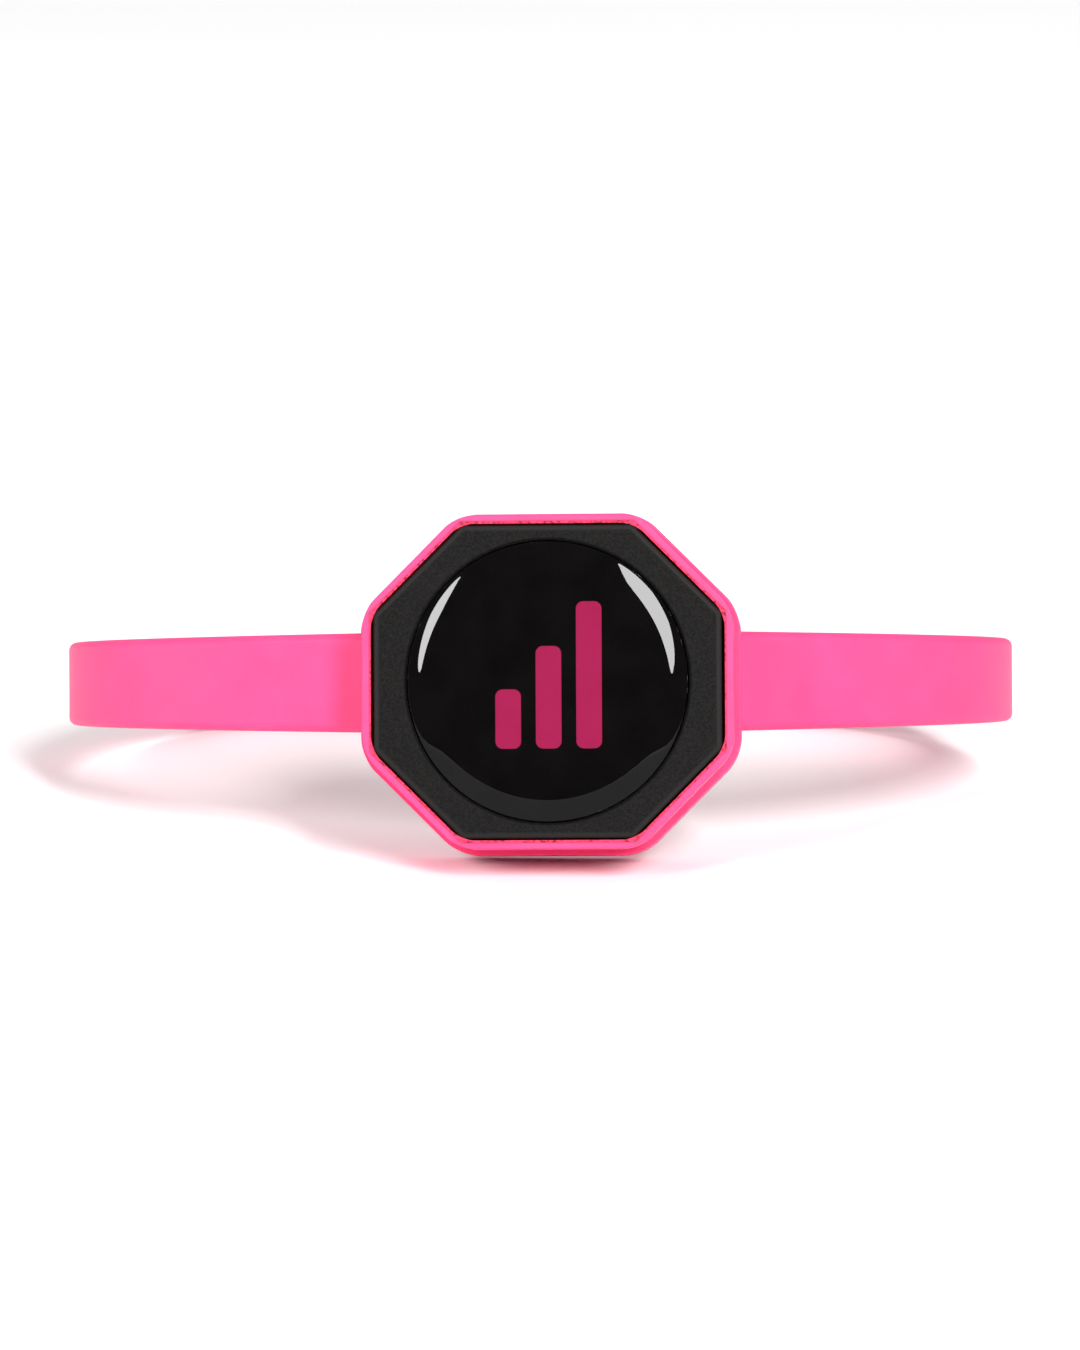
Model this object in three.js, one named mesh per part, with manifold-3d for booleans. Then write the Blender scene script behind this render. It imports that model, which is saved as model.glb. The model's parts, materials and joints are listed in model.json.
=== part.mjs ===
// Fitness tracker band: a slim silicone wrist loop that carries an eight-sided tracker
// module in a moulded cradle. All sizes are in millimetres.
//
// Band frame: X runs across the wrist, +Y from the tracker's face through the wrist to
// the clasp, and Z along the forearm, so the strap's width stands along Z. The loop's
// centre is the origin. Pod frame: X as before, Y up the face, and Z out of the face, with
// Z = 0 on the plane that touches the skin.
import * as THREE from 'three';
import { mergeVertices } from 'three/addons/utils/BufferGeometryUtils.js';
import Module from 'manifold-3d';

// ---------------------------------------------------------------- driving dimensions

// Clearances
const pieceGap = 0.2; // between nested rigid pieces
const mouldGap = 0.3; // where one moulding continues in its neighbour

// Coin cell and the walls around it, which set the module's size
const cellDiameter = 20;
const cellThickness = 3.2;
const cellClearance = 0.15;
const trayWeb = 0.5;
const caseWall = 0.8;
const screwAisle = 1.3; // extra room at each side of the cell for the case screws
const chamferLeg = 6.6;
const cornerFillet = 0.75;

// Thicknesses through the pod, from the skin to the face
const ledgeThickness = 0.8;
const caseFloor = 1.2;
const contactSpace = 0.5;
const boardThickness = 0.6;
const chipHeight = 0.7;
const switchTravel = 0.25;
const buttonPlateThickness = 0.45;
const filmThickness = 0.1;
const lensEdgeThickness = 0.7;
const domeRise = 0.6;
const bezelWall = 0.85;
const bezelRim = 0.95; // between the lens recess and the top edge of the module
const bezelEdgeBevel = 0.45;

// Silicone cradle
const flangeWall = 1.1; // the rear part, which lies on the skin and carries the strap
const flangeTop = 4.2;
const lipWall = 0.65; // the front part, which closes round the bezel
const lipSetback = 0.25; // how far the lip stays behind the bezel's face
const grooveWall = 0.4;
const grooveWidth = 0.9;
const cradleCornerRadius = 3.2;
const flangeEdgeRound = 0.5;
const lipEdgeRound = 0.22;
const windowRadius = 9.0;

// Strap
const loopHalfWidth = 36.3; // centre of the strap, at its widest
const frontHalfDepth = 25.7;
const backHalfDepth = 24.4; // centre of the outer, clasp end at the back
const backStraightHalf = 16.3;
const strapThickness = 2.0;
const widthAtPod = 7.5;
const widthAtSide = 6.45;
const strapEdgeRound = 0.6;
const strapSeat = 1.5; // from the skin plane to the strap's centre where it leaves the pod
const podOffset = 0.87; // how far right of the loop's middle the pod sits
const podDrop = 0.3; // and how far below the strap's middle line
const podPitch = THREE.MathUtils.degToRad(2.7); // how far the soft strap lets the face tip up
const podYaw = THREE.MathUtils.degToRad(2.8); // and turn to the left
const flexX = 24; // where the two free ends bend
const claspEndReach = 12; // how far the outer end runs past the middle of the back
const tailReach = 19; // how far the inner end runs past it the other way

// Clasp
const holePitch = 5;
const holeRadius = 1.7;
const holeCount = 6;
const firstHoleX = 10;
const pegHalfSpacing = 5;
const pegNeckRadius = 0.85;
const pegHeadRadius = 1.15;
const pegHeadHeight = 0.6;
const claspPlateLength = 18;
const claspPlateWidth = 5.2;
const claspPlateThickness = 0.7;

// Case screws
const screwHeadRadius = 0.75;
const screwHeadHeight = 0.5;
const screwShankRadius = 0.45;
const screwLength = 3.2;
const screwPostRadius = 0.85;
const screwFromWall = 1.15;
const screwFromChamfer = 0.65;

// ---------------------------------------------------------------- derived sizes

const moduleHeight = cellDiameter + 2 * (cellClearance + trayWeb + pieceGap + caseWall);
const moduleWidth = moduleHeight + 2 * screwAisle;
const cellRoom = cellDiameter / 2 + cellClearance;
const flangeGrow = pieceGap + flangeWall;
const cradleHalfWidth = moduleWidth / 2 + flangeGrow;
const cradleHalfHeight = moduleHeight / 2 + flangeGrow;
const recessRadius = moduleHeight / 2 - bezelRim;
const lensRadius = recessRadius - mouldGap;

// Levels in the pod frame
const caseBottom = ledgeThickness + pieceGap;
const floorTop = caseBottom + caseFloor;
const cellBottom = floorTop + cellClearance;
const cellTop = cellBottom + cellThickness;
const boardBottom = cellTop + contactSpace;
const boardTop = boardBottom + boardThickness;
const chipTop = boardTop + chipHeight;
const plateBottom = chipTop + switchTravel + 0.1;
const plateTop = plateBottom + buttonPlateThickness;
const filmBottom = plateTop + 0.05;
const lensBottom = filmBottom + filmThickness + 0.05;
const lensEdgeTop = lensBottom + lensEdgeThickness;
const bezelFace = lensEdgeTop + 0.1;
const bezelUnderside = bezelFace - bezelWall;
const caseSeam = floorTop + 1.4; // where the rear case meets the bezel's skirt
const lipTop = bezelFace - lipSetback;
const plungerRadius = 0.7;

// Strap path
const tailHalfDepth = backHalfDepth - strapThickness - mouldGap;
const rootX = cradleHalfWidth + mouldGap;
const rootAngle = Math.acos((cradleHalfWidth - 1) / loopHalfWidth);
const rootY = -frontHalfDepth * Math.sqrt(1 - (rootX / loopHalfWidth) ** 2);

const screwPlaces = [[1, 1], [-1, 1], [-1, -1], [1, -1]].map(([sx, sy]) => [
  sx * (moduleWidth / 2 - caseWall - screwFromWall),
  sy * (moduleHeight / 2 - chamferLeg - screwFromChamfer),
]);

// ---------------------------------------------------------------- materials

function finish(colour, roughness, metalness = 0) {
  return new THREE.MeshStandardMaterial({ color: colour, roughness, metalness });
}

const silicone = () => finish(0xff5f9f, 0.55);
const blackPlastic = () => finish(0x262422, 0.6);
const darkPlastic = () => finish(0x1b1b1c, 0.55);
const glossBlack = () => finish(0x0c0c0d, 0.08);
const rubber = () => finish(0x222224, 0.8);
const steel = () => finish(0xc3c5c8, 0.28, 1);
const springMetal = () => finish(0xcaa85a, 0.3, 1);
const boardGreen = () => finish(0x1f5a3a, 0.5);
const chipBlack = () => finish(0x17181a, 0.45);
const ceramicWhite = () => finish(0xe6e2d6, 0.5);

// ---------------------------------------------------------------- solids

const wasm = await Module();
wasm.setup();

// A closed geometry as a solid that can be cut and joined.
function solidOf(geometry) {
  const bare = geometry.clone();
  bare.deleteAttribute('normal');
  bare.deleteAttribute('uv');
  const merged = mergeVertices(bare, 1e-4);
  const corners = merged.index.array;
  const kept = [];
  for (let i = 0; i < corners.length; i += 3) {
    const [a, b, c] = [corners[i], corners[i + 1], corners[i + 2]];
    if (a !== b && b !== c && c !== a) kept.push(a, b, c);
  }
  const mesh = new wasm.Mesh({
    numProp: 3,
    vertProperties: new Float32Array(merged.attributes.position.array),
    triVerts: new Uint32Array(kept),
  });
  return new wasm.Manifold(mesh);
}

function geometryOf(solid) {
  const { vertProperties, triVerts } = solid.getMesh();
  const geometry = new THREE.BufferGeometry();
  geometry.setAttribute('position', new THREE.BufferAttribute(vertProperties, 3));
  geometry.setIndex(new THREE.BufferAttribute(triVerts, 1));
  geometry.computeVertexNormals();
  return geometry;
}

const join = (...pieces) => pieces.map(solidOf).reduce((whole, piece) => whole.add(piece));

function cut(base, ...tools) {
  const start = base instanceof THREE.BufferGeometry ? solidOf(base) : base;
  return tools.reduce((left, tool) => left.subtract(solidOf(tool)), start);
}

function piece(name, shape, material) {
  const geometry = shape instanceof THREE.BufferGeometry ? geometryOf(solidOf(shape)) : geometryOf(shape);
  const mesh = new THREE.Mesh(geometry, material);
  mesh.name = name;
  return mesh;
}

// ---------------------------------------------------------------- shapes

// A flat outline raised from one level to another, its edges rounded by `round`.
function plate(outline, low, high, round = 0, steps = 12) {
  const geometry = new THREE.ExtrudeGeometry(outline, {
    depth: high - low - 2 * round,
    curveSegments: steps,
    bevelEnabled: round > 0,
    bevelThickness: round,
    bevelSize: round,
    bevelOffset: -round,
    bevelSegments: 2,
  });
  return geometry.translate(0, 0, low + round);
}

function circle(radius, x = 0, y = 0) {
  return new THREE.Shape().absarc(x, y, radius, 0, 2 * Math.PI, false);
}

function disc(radius, low, high, x = 0, y = 0, steps = 24) {
  return plate(circle(radius, x, y), low, high, 0, steps);
}

function block(width, height, low, high, x = 0, y = 0) {
  return new THREE.BoxGeometry(width, height, high - low).translate(x, y, (low + high) / 2);
}

// A profile of [radius, level] pairs turned about the pod's Z axis.
function turned(profile, steps = 48) {
  const points = profile.map(([radius, level]) => new THREE.Vector2(radius, level));
  return new THREE.LatheGeometry(points, steps).rotateX(Math.PI / 2);
}

// A ring of square section.
function ring(inner, outer, low, high, steps = 48) {
  return turned([[inner, low], [outer, low], [outer, high], [inner, high], [inner, low]], steps);
}

// A rectangle with its four corners cut at 45 degrees and every corner rounded.
function octagon(width, height, leg, radius) {
  const [x, y] = [width / 2, height / 2];
  const corners = [
    [x, y - leg], [x - leg, y], [leg - x, y], [-x, y - leg],
    [-x, leg - y], [leg - x, -y], [x - leg, -y], [x, leg - y],
  ].map(([cx, cy]) => new THREE.Vector2(cx, cy));
  const reach = radius * Math.tan(Math.PI / 8);
  const outline = new THREE.Shape();
  corners.forEach((corner, i) => {
    const before = corners[(i + 7) % 8].clone().sub(corner).setLength(reach).add(corner);
    const after = corners[(i + 1) % 8].clone().sub(corner).setLength(reach).add(corner);
    if (i === 0) outline.moveTo(before.x, before.y);
    else outline.lineTo(before.x, before.y);
    outline.quadraticCurveTo(corner.x, corner.y, after.x, after.y);
  });
  outline.closePath();
  return outline;
}

// The module's outline moved outwards by `grow`, inwards when it is negative.
function moduleOutline(grow, radius = cornerFillet) {
  const leg = chamferLeg + grow * (2 - Math.SQRT2);
  return octagon(moduleWidth + 2 * grow, moduleHeight + 2 * grow, leg, radius);
}

// ---------------------------------------------------------------- cradle

// The silicone frame moulded in one with the strap: an eight-sided pocket that the
// module drops into from the front, with a ledge behind it and a groove round its side.
function makeCradle() {
  const grown = (wall) => moduleOutline(pieceGap + wall, cradleCornerRadius);
  const flange = plate(grown(flangeWall), 0, flangeTop, flangeEdgeRound, 4);
  const waist = plate(grown(grooveWall), ledgeThickness, lipTop - lipEdgeRound, 0, 4);
  const lip = plate(grown(lipWall), flangeTop + grooveWidth, lipTop, lipEdgeRound, 4);
  const pocket = plate(moduleOutline(pieceGap), ledgeThickness, lipTop + 1, 0, 3);
  const skinWindow = disc(windowRadius, -1, ledgeThickness + 1);
  return piece('cradle', cut(join(flange, waist, lip), pocket, skinWindow), silicone());
}

// ---------------------------------------------------------------- strap

// The right-hand half of the loop in plan, as far as the given back depth. side is 1 for
// the right and -1 for the left.
function frontQuarter() {
  return new THREE.EllipseCurve(0, 0, loopHalfWidth, frontHalfDepth, -rootAngle, 0, false);
}

function backQuarter(depth, from, to) {
  const radius = loopHalfWidth - backStraightHalf;
  return new THREE.EllipseCurve(backStraightHalf, 0, radius, depth, from, to, false);
}

const flexAngle = Math.acos((flexX - backStraightHalf) / (loopHalfWidth - backStraightHalf));

// The angle on the back quarter that lies `distance` along the strap before the flex axis.
function angleBeforeFlex(depth, distance) {
  const radius = loopHalfWidth - backStraightHalf;
  const speed = Math.hypot(radius * Math.sin(flexAngle), depth * Math.cos(flexAngle));
  return flexAngle - distance / speed;
}

// Points along one or more curves that meet end to end, each with its direction.
function stations(curves, spacing) {
  const found = [];
  for (const curve of curves) {
    const count = Math.max(1, Math.round(curve.getLength() / spacing));
    for (let i = found.length ? 1 : 0; i <= count; i += 1) {
      found.push({ at: curve.getPointAt(i / count), along: curve.getTangentAt(i / count) });
    }
  }
  return found;
}

// Half circle of points round an end of the ribbon, from one face to the other.
function nose(centre, along, outwards) {
  const start = Math.atan2(along.y, along.x) + (outwards > 0 ? -Math.PI / 2 : Math.PI / 2);
  return [1, 2, 3, 4, 5].map((i) => {
    const angle = start + (i * Math.PI) / 6;
    return new THREE.Vector2(
      centre.x + (strapThickness / 2) * Math.cos(angle),
      centre.y + (strapThickness / 2) * Math.sin(angle),
    );
  });
}

// The strap is widest at the pod, narrows on its way to the sides and is even behind.
function strapWidth(x, y) {
  if (y > 0) return widthAtSide;
  const share = (Math.abs(x) - rootX) / (loopHalfWidth - rootX);
  return THREE.MathUtils.lerp(widthAtPod, widthAtSide, THREE.MathUtils.clamp(share, 0, 1));
}

// A length of strap along the given curves, with a round nose at either end if asked for.
function ribbon(curves, side, { roundStart = false, roundEnd = false }) {
  const line = stations(curves, 2.4);
  const offset = (station, distance) => new THREE.Vector2(
    station.at.x + station.along.y * distance,
    station.at.y - station.along.x * distance,
  );
  const outer = line.map((station) => offset(station, strapThickness / 2));
  const inner = line.map((station) => offset(station, -strapThickness / 2)).reverse();
  const first = line[0];
  const last = line[line.length - 1];
  const endNose = roundEnd ? nose(last.at, last.along, 1) : [];
  const startNose = roundStart ? nose(first.at, first.along, -1) : [];
  const outline = [...outer, ...endNose, ...inner, ...startNose]
    .map((point) => new THREE.Vector2(side * point.x, point.y));
  const geometry = plate(new THREE.Shape(outline), -widthAtPod / 2, widthAtPod / 2, strapEdgeRound);
  const position = geometry.attributes.position;
  for (let i = 0; i < position.count; i += 1) {
    const width = strapWidth(position.getX(i), position.getY(i));
    position.setZ(i, position.getZ(i) * (width / widthAtPod));
  }
  return geometry;
}

// From the cradle's side round to just short of the flex axis.
function makeStrapSide(name, side, depth) {
  const stop = angleBeforeFlex(depth, strapThickness / 2 + mouldGap);
  const strap = ribbon([frontQuarter(), backQuarter(depth, 0, stop)], side, {});
  const cradleSpace = new THREE.BoxGeometry(2 * rootX, 20, 20).translate(podOffset, rootY, 0);
  return piece(name, cut(strap, cradleSpace), silicone());
}

// A free end of the strap, from its flex axis to its tip. `reach` is how far its
// straight part runs past the middle of the back.
function freeEnd(side, depth, reach) {
  const straight = new THREE.LineCurve(
    new THREE.Vector2(backStraightHalf, depth),
    new THREE.Vector2(-reach + strapThickness / 2, depth),
  );
  const curves = [backQuarter(depth, flexAngle, Math.PI / 2), straight];
  return ribbon(curves, side, { roundStart: true, roundEnd: true });
}

// A round hole through the strap's thickness at the back of the loop.
function strapHole(radius, x, depth) {
  return new THREE.CylinderGeometry(radius, radius, strapThickness * 2, 20).translate(x, depth, 0);
}

function makeClaspEnd() {
  const pegHoles = [-1, 1].map((sign) =>
    strapHole(pegNeckRadius + pieceGap, sign * pegHalfSpacing, backHalfDepth));
  return piece('strap_clasp_end', cut(freeEnd(-1, backHalfDepth, claspEndReach), ...pegHoles), silicone());
}

function makeTail() {
  const holes = Array.from({ length: holeCount }, (_, i) =>
    strapHole(holeRadius, firstHoleX - i * holePitch, tailHalfDepth));
  return piece('strap_tail', cut(freeEnd(1, tailHalfDepth, tailReach), ...holes), silicone());
}

// The clasp: an outer plate with two pegs that pass through the outer end and push
// through two holes of the tail, where their heads hold.
function makeClasp() {
  const plateInner = backHalfDepth + strapThickness / 2 + pieceGap;
  const tailInner = tailHalfDepth - strapThickness / 2;
  const headInner = tailInner - pieceGap - pegHeadHeight;
  const half = claspPlateLength / 2 - claspPlateWidth / 2;
  const outline = new THREE.Shape();
  outline.absarc(half, 0, claspPlateWidth / 2, -Math.PI / 2, Math.PI / 2, false);
  outline.absarc(-half, 0, claspPlateWidth / 2, Math.PI / 2, 1.5 * Math.PI, false);
  const face = plate(outline, -plateInner - claspPlateThickness, -plateInner, 0.15, 8)
    .rotateX(Math.PI / 2);
  const pegs = [-1, 1].map((sign) => {
    const profile = [
      [0, headInner],
      [pegHeadRadius * 0.6, headInner],
      [pegHeadRadius, headInner + pegHeadHeight / 2],
      [pegHeadRadius, headInner + pegHeadHeight],
      [pegNeckRadius, headInner + pegHeadHeight],
      [pegNeckRadius, plateInner + claspPlateThickness / 2],
      [0, plateInner + claspPlateThickness / 2],
    ].map(([radius, level]) => new THREE.Vector2(radius, level));
    return new THREE.LatheGeometry(profile, 20).translate(sign * pegHalfSpacing, 0, 0);
  });
  return piece('clasp', join(face, ...pegs), steel());
}

// ---------------------------------------------------------------- module case

// The front half of the case: an eight-sided cap with the round lens recess, and four
// posts inside it that take the case screws.
function makeBezel() {
  const cap = plate(moduleOutline(0), caseSeam, bezelFace, 0, 3);
  const shoulder = cut(
    plate(moduleOutline(1), bezelFace - bezelEdgeBevel, bezelFace + 1, 0, 3),
    plate(moduleOutline(0), bezelFace - 3 * bezelEdgeBevel, bezelFace, bezelEdgeBevel, 3),
  );
  const inside = plate(moduleOutline(-caseWall), caseSeam - 1, bezelUnderside, 0, 3);
  const recess = disc(recessRadius, bezelUnderside - 1, bezelFace + 1);
  const shell = cut(cap, inside, recess).subtract(shoulder);
  const posts = screwPlaces.map(([x, y]) =>
    disc(screwPostRadius, floorTop + pieceGap, bezelUnderside + bezelWall / 2, x, y, 10));
  const borings = screwPlaces.map(([x, y]) =>
    disc(screwShankRadius + pieceGap / 2, floorTop, caseBottom + screwLength + 1, x, y, 8));
  const lensRoom = disc(recessRadius, bezelUnderside - 2, bezelFace + 1);
  const body = posts.reduce((whole, post) => whole.add(solidOf(post)), shell);
  return piece('front_bezel', cut(body, lensRoom, ...borings), blackPlastic());
}

// The rear half: a shallow tray with the door opening and four countersunk screw holes.
function makeRearCase() {
  const shell = plate(moduleOutline(0), caseBottom, caseSeam - pieceGap / 2, 0, 3);
  const inside = plate(moduleOutline(-caseWall), floorTop, caseSeam + 1, 0, 3);
  const doorSeat = disc(cellRoom + 0.5, caseBottom - 1, doorFlangeTop + 0.05);
  const doorway = disc(cellRoom, caseBottom, floorTop + 1);
  const screwHoles = screwPlaces.flatMap(([x, y]) => [
    disc(screwHeadRadius + pieceGap / 2, caseBottom - 1, caseBottom + screwHeadHeight + 0.15, x, y, 10),
    disc(screwShankRadius + pieceGap / 2, caseBottom, floorTop + 1, x, y, 8),
  ]);
  return piece('rear_case', cut(shell, inside, doorSeat, doorway, ...screwHoles), blackPlastic());
}

// A flat seal in the seam between the two halves, inside the outer wall.
function makeCaseSeal() {
  const outer = plate(moduleOutline(-caseWall - 0.05), caseSeam - 0.35, caseSeam + 0.35, 0, 3);
  const inner = plate(moduleOutline(-caseWall - 0.2), caseSeam - 1, caseSeam + 1, 0, 3);
  return piece('case_seal', cut(outer, inner), rubber());
}

const doorFlangeTop = caseBottom + 0.5;
const doorSlot = { length: 12, width: 1.6, depth: 0.3 };

// The battery door is turned with a coin. It closes the case behind the cell.
function makeBatteryDoor() {
  const door = turned([
    [0, caseBottom],
    [cellRoom + 0.3, caseBottom],
    [cellRoom + 0.3, doorFlangeTop],
    [cellRoom - 0.3, doorFlangeTop],
    [cellRoom - 0.3, floorTop - 0.1],
    [0, floorTop - 0.1],
  ]);
  const slot = block(doorSlot.length, doorSlot.width, caseBottom - 1, caseBottom + doorSlot.depth);
  return piece('battery_door', cut(door, slot), darkPlastic());
}

function makeDoorSeal() {
  const seal = ring(cellRoom - 0.22, cellRoom - 0.06, doorFlangeTop + 0.08, floorTop - 0.2);
  return piece('door_seal', seal, rubber());
}

function makeScrew(index, [x, y]) {
  const headLow = caseBottom + 0.05;
  const screw = turned([
    [0, headLow],
    [screwHeadRadius, headLow],
    [screwHeadRadius, headLow + screwHeadHeight],
    [screwShankRadius, headLow + screwHeadHeight],
    [screwShankRadius, headLow + screwLength],
    [0, headLow + screwLength],
  ], 12).translate(x, y, 0);
  const drive = block(0.9, 0.22, headLow - 1, headLow + 0.2, x, y);
  return piece(`case_screw_${index + 1}`, cut(screw, drive), steel());
}

// ---------------------------------------------------------------- lens and button

// The domed lens, bonded over a printed film to the plate that carries it.
function makeLens() {
  const profile = [[0, lensBottom], [lensRadius - 0.2, lensBottom], [lensRadius, lensBottom + 0.2]];
  profile.push([lensRadius, lensEdgeTop - 0.1]);
  const rings = 6;
  for (let i = rings; i >= 0; i -= 1) {
    const share = i / rings;
    profile.push([share * (lensRadius - 0.1), lensEdgeTop + domeRise * (1 - share ** 2)]);
  }
  return piece('dome_lens', turned(profile), glossBlack());
}

function makeFilm() {
  return piece('graphic_film', disc(lensRadius - 0.4, filmBottom, filmBottom + filmThickness), finish(0xb22a5c, 0.5));
}

const earReach = moduleWidth / 2 - caseWall - 0.5;

// The plate under the lens. Two ears keep it in the case, and a nub works the switch.
function makeButtonPlate() {
  const base = disc(lensRadius - 0.2, plateBottom, plateTop);
  const ears = block(2 * earReach, 4, plateBottom, plateTop - 0.05);
  const nub = disc(plungerRadius - 0.1, chipTop + 0.05, plateBottom + 0.1, 0, 0, 8);
  return piece('button_plate', join(base, ears, nub), darkPlastic());
}

// A soft ring that lifts the button back up.
function makeReturnRing() {
  const low = boardTop + 0.05;
  return piece('lens_return_ring', ring(lensRadius - 1.5, lensRadius - 0.6, low, low + 0.5), rubber());
}

// ---------------------------------------------------------------- electronics

function makeBoard() {
  const outline = plate(moduleOutline(-caseWall - pieceGap), boardBottom, boardTop, 0, 3);
  const notches = screwPlaces.map(([x, y]) =>
    disc(screwPostRadius + pieceGap, boardBottom - 1, boardTop + 1, x, y, 10));
  return piece('main_board', cut(outline, ...notches), boardGreen());
}

const switchSize = 3;

function makeSwitch() {
  const low = boardTop + 0.02;
  const body = block(switchSize, switchSize, low, boardTop + 0.5);
  const well = disc(plungerRadius + 0.1, boardTop + 0.12, boardTop + 2, 0, 0, 10);
  return piece('tact_switch', cut(body, well), steel());
}

function makePlunger() {
  const plunger = disc(plungerRadius, chipTop - 0.3, chipTop, 0, 0, 10);
  return piece('switch_plunger', plunger, darkPlastic());
}

// Chips and lights on the upper side of the board: name, size, height, place, material.
const boardParts = [
  ['bluetooth_chip', 5, 5, chipHeight - 0.05, -5.6, 0.6, chipBlack],
  ['accelerometer', 2, 2, 0.6, 4.4, -2.4, chipBlack],
  ['memory_chip', 3, 2, 0.55, 5.6, 1.6, chipBlack],
  ['clock_crystal', 2.5, 2, 0.5, -4.6, -4.2, steel],
  ['chip_antenna', 1.4, 3.2, chipHeight - 0.05, 6.4, -3.6, ceramicWhite],
  ['light_left', 1.6, 0.8, 0.5, -3, 6.2, ceramicWhite],
  ['light_middle', 1.6, 0.8, 0.5, 0, 6.2, ceramicWhite],
  ['light_right', 1.6, 0.8, 0.5, 3, 6.2, ceramicWhite],
];

function makeBoardPart([name, width, height, thickness, x, y, material]) {
  const low = boardTop + 0.02;
  return piece(name, block(width, height, low, boardTop + thickness, x, y), material());
}

// A strip with three windows that keeps each light to its own place.
function makeLightMask() {
  const strip = block(9.6, 2.4, boardTop + 0.02, boardTop + chipHeight - 0.05, 0, 6.2);
  const windows = [-3, 0, 3].map((x) => block(2, 1.2, boardTop - 1, chipTop + 1, x, 6.2));
  return piece('light_mask', cut(strip, ...windows), darkPlastic());
}

// ---------------------------------------------------------------- battery

function makeTray() {
  const low = floorTop + 0.05;
  const high = boardBottom - 0.05;
  const outline = plate(moduleOutline(-caseWall - pieceGap - 0.1), low, high, 0, 3);
  const cellHole = disc(cellRoom, low - 1, high + 1);
  const postRooms = screwPlaces.map(([x, y]) =>
    disc(screwPostRadius + 0.1, low - 1, high + 1, x, y, 10));
  const contactRoom = block(1.2, 4.6, low - 1, high + 1, -cellRoom, 0);
  return piece('battery_tray', cut(outline, cellHole, contactRoom, ...postRooms), darkPlastic());
}

function makeCell() {
  const radius = cellDiameter / 2;
  const cell = turned([
    [0, cellBottom],
    [radius - 0.3, cellBottom],
    [radius, cellBottom + 0.3],
    [radius, cellTop - 0.5],
    [radius - 0.5, cellTop - 0.3],
    [radius - 1.4, cellTop - 0.3],
    [radius - 1.5, cellTop],
    [0, cellTop],
  ]);
  return piece('coin_cell', cell, steel());
}

// A sprung leaf under the board that presses on the cell's upper, negative face.
function makeNegativeContact() {
  const leaf = block(9, 2.4, cellTop + 0.1, cellTop + 0.25);
  const foot = block(2, 2.4, cellTop + 0.1, boardBottom - 0.03, 3.5, 0);
  return piece('negative_contact', join(leaf, foot), springMetal());
}

// A clip beside the cell that touches its rim, the positive pole.
function makePositiveContact() {
  const inner = -(cellDiameter / 2 + 0.1);
  const upright = block(0.25, 4, cellBottom + 0.4, boardBottom - 0.03, inner - 0.125, 0);
  const foot = block(1.6, 4, boardBottom - 0.2, boardBottom - 0.03, inner + 0.55, 0);
  return piece('positive_contact', join(upright, foot), springMetal());
}

// ---------------------------------------------------------------- assembly

const pod = new THREE.Group();
pod.add(
  makeCradle(),
  makeBezel(),
  makeRearCase(),
  makeCaseSeal(),
  makeBatteryDoor(),
  makeDoorSeal(),
  ...screwPlaces.map((place, index) => makeScrew(index, place)),
  makeLens(),
  makeFilm(),
  makeButtonPlate(),
  makeReturnRing(),
  makeBoard(),
  makeSwitch(),
  makePlunger(),
  ...boardParts.map(makeBoardPart),
  makeLightMask(),
  makeTray(),
  makeCell(),
  makeNegativeContact(),
  makePositiveContact(),
);
pod.rotation.x = Math.PI / 2;
pod.position.y = strapSeat;

// The pod turns a little in its soft strap, about the place where the strap leaves it.
const podSeat = new THREE.Group();
podSeat.add(pod);
podSeat.position.set(podOffset, rootY, -podDrop);
podSeat.rotation.set(-podPitch, 0, -podYaw);
podSeat.updateMatrix();

const band = new THREE.Group();
band.add(
  podSeat,
  makeStrapSide('strap_left', -1, backHalfDepth),
  makeStrapSide('strap_right', 1, tailHalfDepth),
  makeClaspEnd(),
  makeTail(),
  makeClasp(),
);

// Set down on a table the band leans back: the cradle's lower rear edge and the lower
// edge of the clasp end touch, and the face looks a little upwards.
const cradleFoot = new THREE.Vector3(0, strapSeat - flangeEdgeRound, -cradleHalfHeight)
  .applyMatrix4(podSeat.matrix);
const claspFootY = backHalfDepth + strapThickness / 2 - strapEdgeRound;
const lean = Math.atan2(-widthAtSide / 2 - cradleFoot.z, claspFootY - cradleFoot.y);
band.rotation.x = -lean;

const tracker = new THREE.Group();
tracker.add(band);
const bounds = new THREE.Box3().setFromObject(tracker, true);
const middle = bounds.getCenter(new THREE.Vector3());
band.position.set(-middle.x, -middle.y, -bounds.min.z);

export default tracker;
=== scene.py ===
import json
import math

import bmesh
import bpy
from mathutils import Matrix, Vector


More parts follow.
